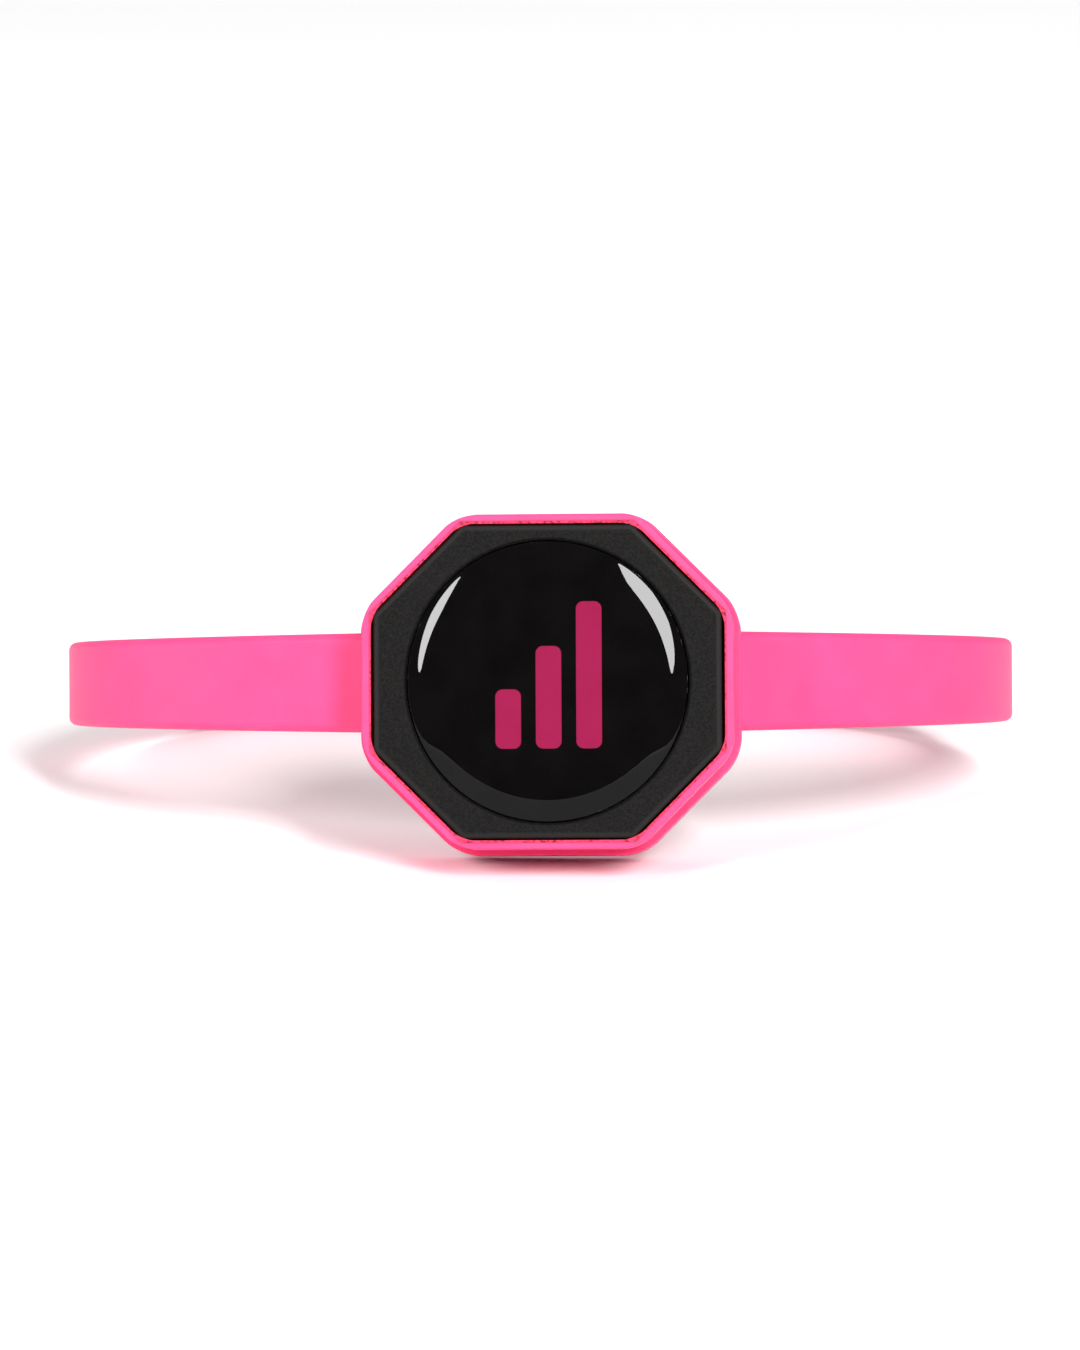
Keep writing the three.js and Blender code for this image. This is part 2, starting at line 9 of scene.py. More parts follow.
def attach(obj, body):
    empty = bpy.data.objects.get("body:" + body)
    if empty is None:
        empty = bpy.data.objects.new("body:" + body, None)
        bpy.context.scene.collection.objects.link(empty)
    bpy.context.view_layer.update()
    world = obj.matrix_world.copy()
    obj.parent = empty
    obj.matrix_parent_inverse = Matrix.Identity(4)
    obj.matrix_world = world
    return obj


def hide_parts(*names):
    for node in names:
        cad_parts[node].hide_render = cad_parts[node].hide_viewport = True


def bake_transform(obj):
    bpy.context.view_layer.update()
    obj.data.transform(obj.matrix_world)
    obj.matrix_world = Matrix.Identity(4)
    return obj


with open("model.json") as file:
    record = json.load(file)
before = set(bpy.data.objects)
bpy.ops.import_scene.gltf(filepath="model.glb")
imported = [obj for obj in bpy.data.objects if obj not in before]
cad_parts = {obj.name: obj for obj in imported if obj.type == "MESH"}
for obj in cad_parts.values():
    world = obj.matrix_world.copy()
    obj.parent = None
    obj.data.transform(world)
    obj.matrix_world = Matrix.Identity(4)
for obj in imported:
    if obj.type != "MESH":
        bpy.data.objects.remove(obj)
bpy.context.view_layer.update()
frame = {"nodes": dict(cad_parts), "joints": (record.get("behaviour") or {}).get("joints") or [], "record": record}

# ---------------------------------------------------------------- where things sit
# The closed loop stands on the lower edge of its pod and leans back a little. Pieces are
# modelled in millimetres, the strap's round the wrist and the pod's on the face of the
# skin, and then set in place.


def seat(origin, right, up, outward):
    turned = Matrix((right, up, outward)).transposed().to_4x4()
    return Matrix.Translation(origin) @ turned @ Matrix.Scale(0.001, 4)


across = Vector((1, 0, 0))
wrist = next(m for m in frame["record"]["mounts"] if m["name"] == "wrist_loop")
along_arm = Vector(wrist["axis"])
to_clasp = along_arm.cross(across)
band_seat = seat(Vector(wrist["pos_m"]), across, to_clasp, along_arm)

door_turn = next(j for j in frame["joints"] if j["name"] == "door_turn")
pod_out = -Vector(door_turn["axis"])
pod_up = Vector((0, pod_out.z, -pod_out.y)).normalized()
pod_seat = seat(Vector(door_turn["pos_m"]), pod_up.cross(pod_out), pod_up, pod_out)

# ---------------------------------------------------------------- camera
# Straight at the face, from half a metre.

camera_distance, camera_aside, camera_above = 482, -0.05, 0.53
camera_roll = math.radians(-0.27)
camera_place = band_seat @ Vector((camera_aside, -camera_distance, camera_above))
bpy.ops.object.camera_add()
camera = bpy.context.object
camera.data.lens = 162.2
camera.data.sensor_width = 36
camera.data.clip_start = 0.02
camera.data.clip_end = 20
facing = Matrix((across, along_arm, -to_clasp)).transposed().to_4x4()
roll = Matrix.Rotation(camera_roll, 4, "Z")
camera.matrix_world = Matrix.Translation(camera_place) @ facing @ roll
bpy.context.scene.camera = camera
bpy.context.scene.view_settings.view_transform = "Standard"

# ---------------------------------------------------------------- floor and light
# A plain white studio table in an even white room. A dark card stands behind the camera,
# so that the glossy lens mirrors black, with one soft light at each side of it.

bpy.ops.object.select_all(action="DESELECT")
bpy.ops.mesh.primitive_plane_add(size=8)
floor = bpy.context.object
floor.name = "table_top"
paper = bpy.data.materials.new("white_table")
paper.use_nodes = True
shader = paper.node_tree.nodes["Principled BSDF"]
mottle = paper.node_tree.nodes.new("ShaderNodeTexNoise")
mottle.inputs["Scale"].default_value = 40
tone = paper.node_tree.nodes.new("ShaderNodeValToRGB")
tone.color_ramp.elements[0].color = (0.90, 0.90, 0.90, 1)
tone.color_ramp.elements[1].color = (0.92, 0.92, 0.92, 1)
paper.node_tree.links.new(mottle.outputs["Fac"], tone.inputs["Fac"])
paper.node_tree.links.new(tone.outputs["Color"], shader.inputs["Base Color"])
shader.inputs["Roughness"].default_value = 0.9
shader.inputs["Specular IOR Level"].default_value = 0.0
floor.data.materials.append(paper)

room = bpy.data.worlds.new("white_room")
room.use_nodes = True
bpy.context.scene.world = room
room_nodes, room_links = room.node_tree.nodes, room.node_tree.links
heading = room_nodes.new("ShaderNodeTexCoord")
card = room_nodes.new("ShaderNodeVectorMath")
card.operation = "DOT_PRODUCT"
card.inputs[1].default_value = pod_out
card_edge = room_nodes.new("ShaderNodeMapRange")
card_edge.interpolation_type = "SMOOTHSTEP"
card_inner, card_outer = math.radians(48), math.radians(64)
room_level, card_level = 0.50, 0.03
card_edge.inputs["From Min"].default_value = math.cos(card_outer)
card_edge.inputs["From Max"].default_value = math.cos(card_inner)
card_edge.inputs["To Min"].default_value = room_level
card_edge.inputs["To Max"].default_value = card_level
room_links.new(heading.outputs["Generated"], card.inputs[0])
room_links.new(card.outputs["Value"], card_edge.inputs["Value"])
room_links.new(card_edge.outputs["Result"], room_nodes["Background"].inputs["Strength"])
room_nodes["Background"].inputs["Color"].default_value = (1, 1, 1, 1)


def light_panel(name, bearing, off_axis, distance, wide, tall, radiance):
    """A soft light seen from the lens at that bearing round its axis and angle off it."""
    towards = Vector((
        math.cos(math.radians(bearing)) * math.sin(math.radians(off_axis)),
        math.sin(math.radians(bearing)) * math.sin(math.radians(off_axis)),
        math.cos(math.radians(off_axis)),
    ))
    place = pod_seat @ (towards * distance * 1000)
    bpy.ops.object.light_add(type="AREA", location=place)
    panel = bpy.context.object
    panel.name = name
    panel.data.shape = "ELLIPSE"
    panel.data.size, panel.data.size_y = wide, tall
    panel.data.energy = radiance * math.pi * wide * tall * math.pi / 4
    panel.rotation_euler = (pod_seat.translation - place).to_track_quat("-Z", "Y").to_euler()


light_panel("left_soft_light", 149, 35.3, 2.5, 0.23, 1.12, 46)
light_panel("right_soft_light", 42.5, 30.2, 2.5, 0.48, 1.42, 44)
light_panel("left_fill_light", 172, 76, 2.5, 1.0, 1.2, 5.2)
light_panel("right_fill_light", 8, 80, 2.5, 1.0, 1.2, 2.4)
bpy.ops.object.light_add(type="AREA", location=(0, 1.0, 2.5))
ceiling = bpy.context.object
ceiling.name = "ceiling_light"
ceiling.data.size = 3.0
ceiling.data.energy = 14

# ---------------------------------------------------------------- cradle
# The silicone frame that the module is pressed into from the front: an eight-sided
# pocket with a skin-side ledge, a groove round its side and a soft lip at the face. It
# comes out of the mould in one with the strap, and the lip's inner edge is left rough.

module_width, module_height = 25.9, 23.3
chamfer_leg = 6.6
flange_grow, groove_grow, lip_grow, pocket_grow = 1.3, 0.6, 0.85, 0.2
flange_top, lip_bottom, lip_top, ledge_top = 4.2, 5.1, 8.9, 0.8
window_radius = 9.0


def pick(piece, kind, test):
    """Selects the edges or faces of a piece in edit mode that pass a test."""
    bpy.ops.mesh.select_all(action="DESELECT")
    bpy.ops.mesh.select_mode(type=kind)
    shape = bmesh.from_edit_mesh(piece.data)
    for part in shape.edges if kind == "EDGE" else shape.faces:
        part.select_set(test(part))
    bmesh.update_edit_mesh(piece.data)


def middle(part):
    corners = [v.co for v in part.verts]
    return sum(corners, Vector()) / len(corners)


def upright(edge):
    a, b = (v.co for v in edge.verts)
    return (a - b).normalized().z ** 2 > 0.99


def level_at(z, near=0.02):
    return lambda part: all(abs(v.co.z - z) < near for v in part.verts)


def spread_of(point):
    """How far a point lies outside the module's eight sides."""
    x, y = abs(point.x), abs(point.y)
    cut = (x + y - module_width / 2 - module_height / 2 + chamfer_leg) / math.sqrt(2)
    return max(x - module_width / 2, y - module_height / 2, cut)


def eight_sided(name, grow, low, high, corner, steps=6, trim=0):
    """A block with the module's outline, moved outwards by grow. Left in edit mode."""
    bpy.ops.object.select_all(action="DESELECT")
    bpy.ops.mesh.primitive_cube_add(size=1, location=(0, 0, (low + high) / 2))
    block = bpy.context.object
    block.name = name
    block.scale = (module_width + 2 * grow, module_height + 2 * (grow - trim), high - low)
    bpy.ops.object.transform_apply(location=True, rotation=True, scale=True)
    bpy.ops.object.mode_set(mode="EDIT")
    pick(block, "EDGE", upright)
    leg = chamfer_leg + grow * (2 - math.sqrt(2))
    bpy.ops.mesh.bevel(offset=leg, segments=1, affect="EDGES")
    pick(block, "EDGE", upright)
    bpy.ops.mesh.bevel(offset=corner * math.tan(math.pi / 8), segments=steps, affect="EDGES")
    return block


def raise_face(height):
    bpy.ops.mesh.extrude_region_move(TRANSFORM_OT_translate={"value": (0, 0, height)})


def round_edges(piece, radius, steps, test):
    pick(piece, "EDGE", test)
    bpy.ops.mesh.bevel(offset=radius, segments=steps, affect="EDGES", clamp_overlap=True)


def carve(piece, tool, operation="DIFFERENCE"):
    """Cuts a tool shape out of a piece, or joins it on, and takes the tool away."""
    change = piece.modifiers.new("carve", "BOOLEAN")
    change.object = tool
    change.operation = operation
    change.solver = "EXACT"
    bpy.ops.object.select_all(action="DESELECT")
    bpy.context.view_layer.objects.active = piece
    piece.select_set(True)
    bpy.ops.object.modifier_apply(modifier="carve")
    bpy.data.objects.remove(tool)


def drum(radius, low, high, x=0, y=0, steps=96):
    bpy.ops.object.select_all(action="DESELECT")
    bpy.ops.mesh.primitive_cylinder_add(
        vertices=steps, radius=radius, depth=high - low, location=(x, y, (low + high) / 2))
    bpy.ops.object.transform_apply(location=True, rotation=True, scale=True)
    return bpy.context.object


def put_in_place(piece, where, material, slot, *stands_for, crease=38):
    """Smooths a finished piece, moves its mesh to its seat and gives it its finish."""
    if bpy.context.object and bpy.context.object.mode != "OBJECT":
        bpy.ops.object.mode_set(mode="OBJECT")
    bpy.ops.object.select_all(action="DESELECT")
    bpy.context.view_layer.objects.active = piece
    piece.select_set(True)
    bpy.ops.object.shade_smooth_by_angle(angle=math.radians(crease))
    piece.modifiers.new("even", "WEIGHTED_NORMAL").keep_sharp = True
    bpy.ops.object.modifier_apply(modifier="even")
    piece.data.transform(where)
    piece.data.update()
    piece.data.materials.clear()
    piece.data.materials.append(material)
    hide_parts(*stands_for)


thin_sides = 0.14  # the wall is this much thinner above and below the module
cradle = eight_sided("cradle_skin", flange_grow, 0, flange_top, 3.6, steps=8, trim=thin_sides)
pick(cradle, "FACE", level_at(flange_top))
bpy.ops.mesh.inset(thickness=flange_grow - groove_grow)
raise_face(lip_bottom - flange_top)
bpy.ops.mesh.extrude_region_move()
lip_spread = (
    (module_width / 2 + lip_grow) / (module_width / 2 + groove_grow),
    (module_height / 2 + lip_grow - 0.09) / (module_height / 2 + groove_grow - thin_sides),
    1,
)
bpy.ops.transform.resize(value=lip_spread, center_override=(0, 0, 0))
raise_face(lip_top - lip_bottom)
bpy.ops.mesh.inset(thickness=lip_grow - pocket_grow)
raise_face(ledge_top - lip_top)
round_edges(cradle, 0.55, 5, lambda e: level_at(flange_top)(e) and e.is_convex)
round_edges(cradle, 0.5, 5, level_at(0))
round_edges(cradle, 0.2, 3, lambda e: level_at(lip_bottom)(e) and e.is_convex)
round_edges(cradle, 0.2, 3, lambda e: level_at(flange_top)(e) and not e.is_convex)
round_edges(cradle, 0.2, 3, lambda e: level_at(lip_bottom)(e) and not e.is_convex)
round_edges(cradle, 0.26, 4, lambda e: level_at(lip_top)(e) and spread_of(middle(e)) > 0.5)
round_edges(cradle, 0.14, 3, lambda e: level_at(lip_top)(e) and spread_of(middle(e)) < 0.5)
bpy.ops.object.mode_set(mode="OBJECT")
carve(cradle, drum(window_radius, -1, 2))
bpy.ops.object.mode_set(mode="EDIT")
round_edges(cradle, 0.3, 3, lambda e: all(
    abs(v.co.z) < 0.01 and abs(v.co.xy.length - window_radius) < 0.02 for v in e.verts))
bpy.ops.object.mode_set(mode="OBJECT")


def new_group(name, inputs, outputs):
    tree = bpy.data.node_groups.new(name, "ShaderNodeTree")
    for label, kind, value in inputs:
        socket = tree.interface.new_socket(name=label, in_out="INPUT", socket_type=kind)
        socket.default_value = value
    for label, kind in outputs:
        tree.interface.new_socket(name=label, in_out="OUTPUT", socket_type=kind)
    return tree, tree.nodes.new("NodeGroupInput"), tree.nodes.new("NodeGroupOutput")


# The fine skin that a spark-eroded or blasted mould leaves: small grain with some larger
# unevenness under it. Grain per millimetre goes in, and a height and a soft mask come out.
grain_group, taken, given = new_group(
    "mould_grain",
    [("Per Millimetre", "NodeSocketFloat", 6.0), ("Unevenness", "NodeSocketFloat", 0.3)],
    [("Height", "NodeSocketFloat"), ("Patches", "NodeSocketFloat")],
)
place = grain_group.nodes.new("ShaderNodeTexCoord")
millimetres = grain_group.nodes.new("ShaderNodeVectorMath")
millimetres.operation = "SCALE"
millimetres.inputs["Scale"].default_value = 1000
fine = grain_group.nodes.new("ShaderNodeTexNoise")
fine.inputs["Detail"].default_value = 3
patches = grain_group.nodes.new("ShaderNodeTexNoise")
patches.inputs["Scale"].default_value = 0.35
patches.inputs["Detail"].default_value = 4
blended = grain_group.nodes.new("ShaderNodeMix")
grain_group.links.new(place.outputs["Object"], millimetres.inputs[0])
grain_group.links.new(millimetres.outputs["Vector"], fine.inputs["Vector"])
grain_group.links.new(millimetres.outputs["Vector"], patches.inputs["Vector"])
grain_group.links.new(taken.outputs["Per Millimetre"], fine.inputs["Scale"])
grain_group.links.new(taken.outputs["Unevenness"], blended.inputs["Factor"])
grain_group.links.new(fine.outputs["Fac"], blended.inputs["A"])
grain_group.links.new(patches.outputs["Fac"], blended.inputs["B"])
grain_group.links.new(blended.outputs["Result"], given.inputs["Height"])
grain_group.links.new(patches.outputs["Fac"], given.inputs["Patches"])


# Where a point lies on the pod: its place in millimetres on the face of the skin, and how
# far it lies outside the module's eight sides.
pod_group, _, given = new_group(
    "place_on_pod", [], [("Place", "NodeSocketVector"), ("Level", "NodeSocketFloat"),
                         ("Spread", "NodeSocketFloat")])
place = pod_group.nodes.new("ShaderNodeTexCoord")
on_pod = pod_group.nodes.new("ShaderNodeMapping")
on_pod.vector_type = "TEXTURE"
on_pod.inputs["Location"].default_value = pod_seat.translation
on_pod.inputs["Rotation"].default_value = pod_seat.to_3x3().normalized().to_euler()
on_pod.inputs["Scale"].default_value = (0.001, 0.001, 0.001)
folded = pod_group.nodes.new("ShaderNodeVectorMath")
folded.operation = "ABSOLUTE"
pod_group.links.new(place.outputs["Object"], on_pod.inputs["Vector"])
pod_group.links.new(on_pod.outputs["Vector"], folded.inputs[0])
pod_group.links.new(on_pod.outputs["Vector"], given.inputs["Place"])
level = pod_group.nodes.new("ShaderNodeSeparateXYZ")
pod_group.links.new(on_pod.outputs["Vector"], level.inputs["Vector"])
pod_group.links.new(level.outputs["Z"], given.inputs["Level"])
sides = []
for facing_side, reach in (
    ((1, 0, 0), module_width / 2),
    ((0, 1, 0), module_height / 2),
    ((math.sqrt(0.5), math.sqrt(0.5), 0),
     (module_width / 2 + module_height / 2 - chamfer_leg) * math.sqrt(0.5)),
):
    along_side = pod_group.nodes.new("ShaderNodeVectorMath")
    along_side.operation = "DOT_PRODUCT"
    along_side.inputs[1].default_value = facing_side
    past = pod_group.nodes.new("ShaderNodeMath")
    past.operation = "SUBTRACT"
    past.inputs[1].default_value = reach
    pod_group.links.new(folded.outputs["Vector"], along_side.inputs[0])
    pod_group.links.new(along_side.outputs["Value"], past.inputs[0])
    sides.append(past.outputs["Value"])
while len(sides) > 1:
    larger = pod_group.nodes.new("ShaderNodeMath")
    larger.operation = "MAXIMUM"
    pod_group.links.new(sides.pop(), larger.inputs[0])
    pod_group.links.new(sides.pop(), larger.inputs[1])
    sides.append(larger.outputs["Value"])
pod_group.links.new(sides[0], given.inputs["Spread"])


class Finish:
    """A material being put together: a Principled shader and the nodes that feed it."""

    def __init__(self, name, **constants):
        self.material = bpy.data.materials.new(name)
        self.material.use_nodes = True
        self.nodes = self.material.node_tree.nodes
        self.shader = self.nodes["Principled BSDF"]
        for label, value in constants.items():
            self.shader.inputs[label.replace("_", " ")].default_value = value

    def add(self, kind, **settings):
        node = self.nodes.new("ShaderNode" + kind)
        for label, value in settings.items():
            setattr(node, label, value)
        return node

    def link(self, source, target):
        self.material.node_tree.links.new(source, target)

    def grain(self, per_millimetre, unevenness=0.3):
        node = self.add("Group", node_tree=grain_group)
        node.inputs["Per Millimetre"].default_value = per_millimetre
        node.inputs["Unevenness"].default_value = unevenness
        return node

    def step(self, value, start, end, low=0.0, high=1.0):
        """A mask that goes from low to high as the value goes from start to end."""
        span = self.add("MapRange")
        limits = {"From Min": start, "From Max": end, "To Min": low, "To Max": high}
        for label, number in limits.items():
            span.inputs[label].default_value = number
        self.link(value, span.inputs["Value"])
        return span.outputs["Result"]

    def between(self, mask, low, high, socket):
        """Runs a shader value from low to high with a mask."""
        self.link(self.step(mask, 0, 1, low, high), self.shader.inputs[socket])

    def both(self, first, second):
        product = self.add("Math", operation="MULTIPLY")
        self.link(first, product.inputs[0])
        self.link(second, product.inputs[1])
        return product.outputs["Value"]

    def colours(self, mask, *stops):
        """A colour ramp on a mask, as (place, colour) stops."""
        ramp = self.add("ValToRGB")
        spots = ramp.color_ramp.elements
        while len(spots) < len(stops):
            spots.new(0.5)
        for spot, (at, colour) in zip(spots, stops):
            spot.position = at
            spot.color = (*colour, 1)
        self.link(mask, ramp.inputs["Fac"])
        return ramp.outputs["Color"]

    def mix(self, mask, first, second):
        """Two colours mixed by a mask. Each is a colour output or three numbers."""
        blend = self.add("Mix", data_type="RGBA")
        for label, colour in (("A", first), ("B", second)):
            socket = next(s for s in blend.inputs if s.name == label and s.type == "RGBA")
            if isinstance(colour, tuple):
                socket.default_value = (*colour, 1)
            else:
                self.link(colour, socket)
        self.link(mask, next(s for s in blend.inputs if s.name == "Factor" and s.type == "VALUE"))
        return next(s for s in blend.outputs if s.type == "RGBA")

    def bump(self, height, depth_mm, strength=1.0):
        bump = self.add("Bump")
        bump.inputs["Strength"].default_value = strength
        bump.inputs["Distance"].default_value = depth_mm / 1000
        self.link(height, bump.inputs["Height"])
        self.link(bump.outputs["Normal"], self.shader.inputs["Normal"])
        return bump


# Pink silicone: dense, slightly cloudy, with a satin skin off a fine mould. The lip's inner edge
# is rough with small nicks, and its colour there is painted darker as shade of the gap by the module.
silicone = Finish(
    "pink_silicone", Subsurface_Weight=0.12, Subsurface_Radius=(1.0, 0.25, 0.45),
    Subsurface_Scale=0.0012, Specular_IOR_Level=0.35)
skin = silicone.grain(7, 0.25)
cloud = silicone.colours(
    skin.outputs["Patches"], (0.30, (0.86, 0.045, 0.184)), (0.70, (0.90, 0.053, 0.205)))
on_lip = silicone.add("Group", node_tree=pod_group)
nicks = silicone.add("TexNoise")
nicks.inputs["Scale"].default_value = 3.4
nicks.inputs["Detail"].default_value = 4
silicone.link(on_lip.outputs["Place"], nicks.inputs["Vector"])
ragged = silicone.add("Math", operation="MULTIPLY_ADD")
ragged.inputs[1].default_value = -0.22
silicone.link(nicks.outputs["Fac"], ragged.inputs[0])
silicone.link(on_lip.outputs["Spread"], ragged.inputs[2])
# The lip's rough inner edge: a mask where the colour is painted darker as the shade of the gap beside the module.
rough_edge_and_gap_shade = silicone.both(
    silicone.step(ragged.outputs["Value"], 0.20, 0.28, 1.0, 0.0),
    silicone.step(on_lip.outputs["Level"], lip_top - 0.6, lip_top - 0.5))
# From a painted deep shade to nearly the plain pink, broken up by the nicks.
nick_and_shade_colour = silicone.colours(
    nicks.outputs["Fac"], (0.38, (0.16, 0.002, 0.014)), (0.46, (0.62, 0.010, 0.055)),
    (0.60, (0.76, 0.030, 0.115)))
silicone.link(silicone.mix(rough_edge_and_gap_shade, cloud, nick_and_shade_colour), silicone.shader.inputs["Base Color"])
silicone.between(skin.outputs["Patches"], 0.42, 0.56, "Roughness")
silicone.bump(skin.outputs["Height"], 0.012)

put_in_place(cradle, pod_seat, silicone.material, "silicone", "cradle")
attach(cradle, "band")

# ---------------------------------------------------------------- straps
# Two flat silicone straps leave the cradle's sides, narrow a little on their way round
# the wrist and lie over each other at the back. The inner one has holes for the pegs of
# the clasp. Both are one moulding with the cradle, so their roots run into its wall.

loop_half_width, front_half_depth, back_straight_half = 36.3, 25.7, 16.3
strap_thickness, strap_width, root_width = 2.0, 6.45, 7.5
clasp_end_depth, tail_depth = 24.4, 22.1
clasp_end_reach, tail_reach = 12, 19  # how far each tip runs past the middle of the back
tip_round, edge_round = 2.4, 0.6
pod_offset = 0.87
root_depth = 0.6  # how far a strap's root runs into the cradle's wall
peg_places, peg_hole_radius = (-5, 5), 1.05
tail_holes, tail_hole_radius = (10, 5, 0, -5, -10, -15), 1.7


def strap_path(side, root, depth, reach):
    """The strap's middle line in plan, from the cradle round the wrist to its tip."""
    points = []
    start = -math.acos(root / loop_half_width)
    for i in range(80):
        angle = start * (1 - i / 80)
        points.append((loop_half_width * math.cos(angle), front_half_depth * math.sin(angle)))
    radius = loop_half_width - back_straight_half
    for i in range(81):
        angle = math.pi / 2 * i / 80
        points.append((back_straight_half + radius * math.cos(angle), depth * math.sin(angle)))
    points.append((-reach, depth))
    return [Vector((side * x, y, 0)) for x, y in points]


def make_strap(name, side, depth, reach):
    root = module_width / 2 + flange_grow + side * pod_offset - root_depth
    path = strap_path(side, root, depth, reach)
    length = sum((b - a).length for a, b in zip(path, path[1:]))
    front = sum((b - a).length for a, b in zip(path[:80], path[1:81]))
    bpy.ops.object.select_all(action="DESELECT")
    bpy.ops.mesh.primitive_cube_add(size=1, location=(length / 2, 0, 0))
    strap = bpy.context.object
    strap.name = name
    strap.scale = (length, strap_thickness, strap_width)
    bpy.ops.object.transform_apply(location=True, rotation=True, scale=True)
    bpy.ops.object.mode_set(mode="EDIT")
    # The tip is cut round, all the long edges are soft, and the bar is cut into short
    # lengths so that it can bend.
    round_edges(strap, tip_round, 8, lambda e: all(v.co.x > length - 0.01 for v in e.verts)
                and abs(e.verts[0].co.y - e.verts[1].co.y) > 1)
    round_edges(strap, edge_round, 5, lambda e: e.calc_face_angle() > 1.0
                and not any(f.normal.x < -0.9 for f in e.link_faces))
    for i in range(1, 100):
        bpy.ops.mesh.select_all(action="SELECT")
        bpy.ops.mesh.bisect(plane_co=(length * i / 100, 0, 0), plane_no=(1, 0, 0))
    # Wider, and a little thicker, where it grows out of the cradle.
    pick(strap, "FACE", lambda f: f.normal.x < -0.9)
    bpy.ops.transform.resize(
        value=(1, 1, root_width / strap_width), center_override=(0, 0, 0),
        use_proportional_edit=True, proportional_edit_falloff="LINEAR", proportional_size=front)
    bpy.ops.transform.resize(
        value=(1, 1.45, 1), center_override=(0, 0, 0),
        use_proportional_edit=True, proportional_edit_falloff="SHARP", proportional_size=3.2)
    bpy.ops.object.mode_set(mode="OBJECT")

    line = bpy.data.curves.new("wrist_line", "CURVE")
    line.dimensions = "2D"
    spline = line.splines.new("POLY")
    spline.points.add(len(path) - 1)
    for point, at in zip(spline.points, path):
        point.co = (*at, 1)
    rail = bpy.data.objects.new("wrist_line", line)
    bpy.context.scene.collection.objects.link(rail)
    wrap = strap.modifiers.new("wrap", "CURVE")
    wrap.object = rail
    wrap.deform_axis = "POS_X"
    bpy.ops.object.modifier_apply(modifier="wrap")
    bpy.data.objects.remove(rail)
    return strap


def punch_holes(strap, radius, places, depth, rim):
    """Round holes through the strap's thickness, with a soft rim."""
    for x in places:
        tool = drum(radius, -3, 3, steps=40)
        across_strap = Matrix.Rotation(math.pi / 2, 4, "X")
        tool.data.transform(Matrix.Translation((x, depth, 0)) @ across_strap)
        carve(strap, tool)
    bpy.ops.object.mode_set(mode="EDIT")
    round_edges(strap, rim, 3, lambda e: e.calc_face_angle(0) > 1.2 and any(
        all(abs(math.hypot(v.co.x - x, v.co.z) - radius) < 0.03 for v in e.verts) for x in places))
    bpy.ops.object.mode_set(mode="OBJECT")


def bend_at(strap):
    """Writes the strap's placement into its mesh."""
    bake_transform(strap)


left_strap = make_strap("strap_left_skin", -1, clasp_end_depth, clasp_end_reach)
punch_holes(left_strap, peg_hole_radius, peg_places, clasp_end_depth, 0.1)
put_in_place(
    left_strap, band_seat, silicone.material, "silicone", "strap_left", "strap_clasp_end")
bend_at(left_strap)

right_strap = make_strap("strap_right_skin", 1, tail_depth, tail_reach)
punch_holes(right_strap, tail_hole_radius, tail_holes, tail_depth, 0.2)
put_in_place(
    right_strap, band_seat, silicone.material, "silicone", "strap_right", "strap_tail")
bend_at(right_strap)

# ---------------------------------------------------------------- clasp
# A small steel plate with a shallow sunk field, on the outside of the upper strap end. Its
# two mushroom pegs go through that end and push into two holes of the tail. Brushed along
# its length.

plate_length, plate_width = 18, 5.2
plate_inner, plate_outer = 25.6, 26.3
peg_radius, head_radius = 0.85, 1.15
head_inner, head_outer = 20.3, 20.9

steel = Finish("brushed_steel", Metallic=1.0, Anisotropic=0.4)
brushing = steel.add("TexNoise")
brushing.inputs["Scale"].default_value = 1.0
brushing.inputs["Detail"].default_value = 5
stretched = steel.add("Mapping")
stretched.inputs["Scale"].default_value = (150, 7000, 7000)
steel_place = steel.add("TexCoord")
steel.link(steel_place.outputs["Object"], stretched.inputs["Vector"])
steel.link(stretched.outputs["Vector"], brushing.inputs["Vector"])
steel.link(steel.colours(brushing.outputs["Fac"], (0.36, (0.34, 0.338, 0.335)),
                         (0.62, (0.54, 0.537, 0.532))), steel.shader.inputs["Base Color"])
steel.between(brushing.outputs["Fac"], 0.20, 0.48, "Roughness")
steel.bump(brushing.outputs["Fac"], 0.012)

bpy.ops.object.select_all(action="DESELECT")
bpy.ops.mesh.primitive_cube_add(size=1, location=(0, 0, (plate_inner + plate_outer) / 2))
clasp = bpy.context.object
clasp.name = "clasp_plate"
clasp.scale = (plate_length, plate_width, plate_outer - plate_inner)
bpy.ops.object.transform_apply(location=True, rotation=True, scale=True)
bpy.ops.object.mode_set(mode="EDIT")
round_edges(clasp, 2.5, 14, upright)
round_edges(clasp, 0.2, 3, lambda e: level_at(plate_outer)(e) or level_at(plate_inner)(e))
pick(clasp, "FACE", level_at(plate_outer))
bpy.ops.mesh.inset(thickness=0.5)
bpy.ops.mesh.inset(thickness=0.1, depth=-0.1)
bpy.ops.object.mode_set(mode="OBJECT")
for peg_x in peg_places:
    peg = drum(peg_radius, head_outer, plate_inner + 0.3, x=peg_x, steps=40)
    bpy.ops.object.mode_set(mode="EDIT")
    pick(peg, "FACE", level_at(head_outer))
    bpy.ops.mesh.extrude_region_move()
    wider = head_radius / peg_radius
    bpy.ops.transform.resize(value=(wider, wider, 1), center_override=(peg_x, 0, head_outer))
    raise_face(head_inner - head_outer)
    round_edges(peg, 0.28, 4, level_at(head_inner))
    round_edges(peg, 0.08, 2, lambda e, x=peg_x: level_at(head_outer)(e)
                and math.hypot(middle(e).x - x, middle(e).y) > 1.0)
    bpy.ops.object.mode_set(mode="OBJECT")
    carve(clasp, peg, "UNION")
clasp_seat = band_seat @ Matrix.Rotation(math.radians(-90), 4, "X")
put_in_place(clasp, clasp_seat, steel.material, "steel", "clasp")
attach(clasp, "clasp_end")

# ---------------------------------------------------------------- front bezel
# The front half of the module's case, moulded in black plastic from a spark-eroded mould:
# an eight-sided cap with a bevelled rim, a round recess for the lens, and four posts
# inside that take the case screws.

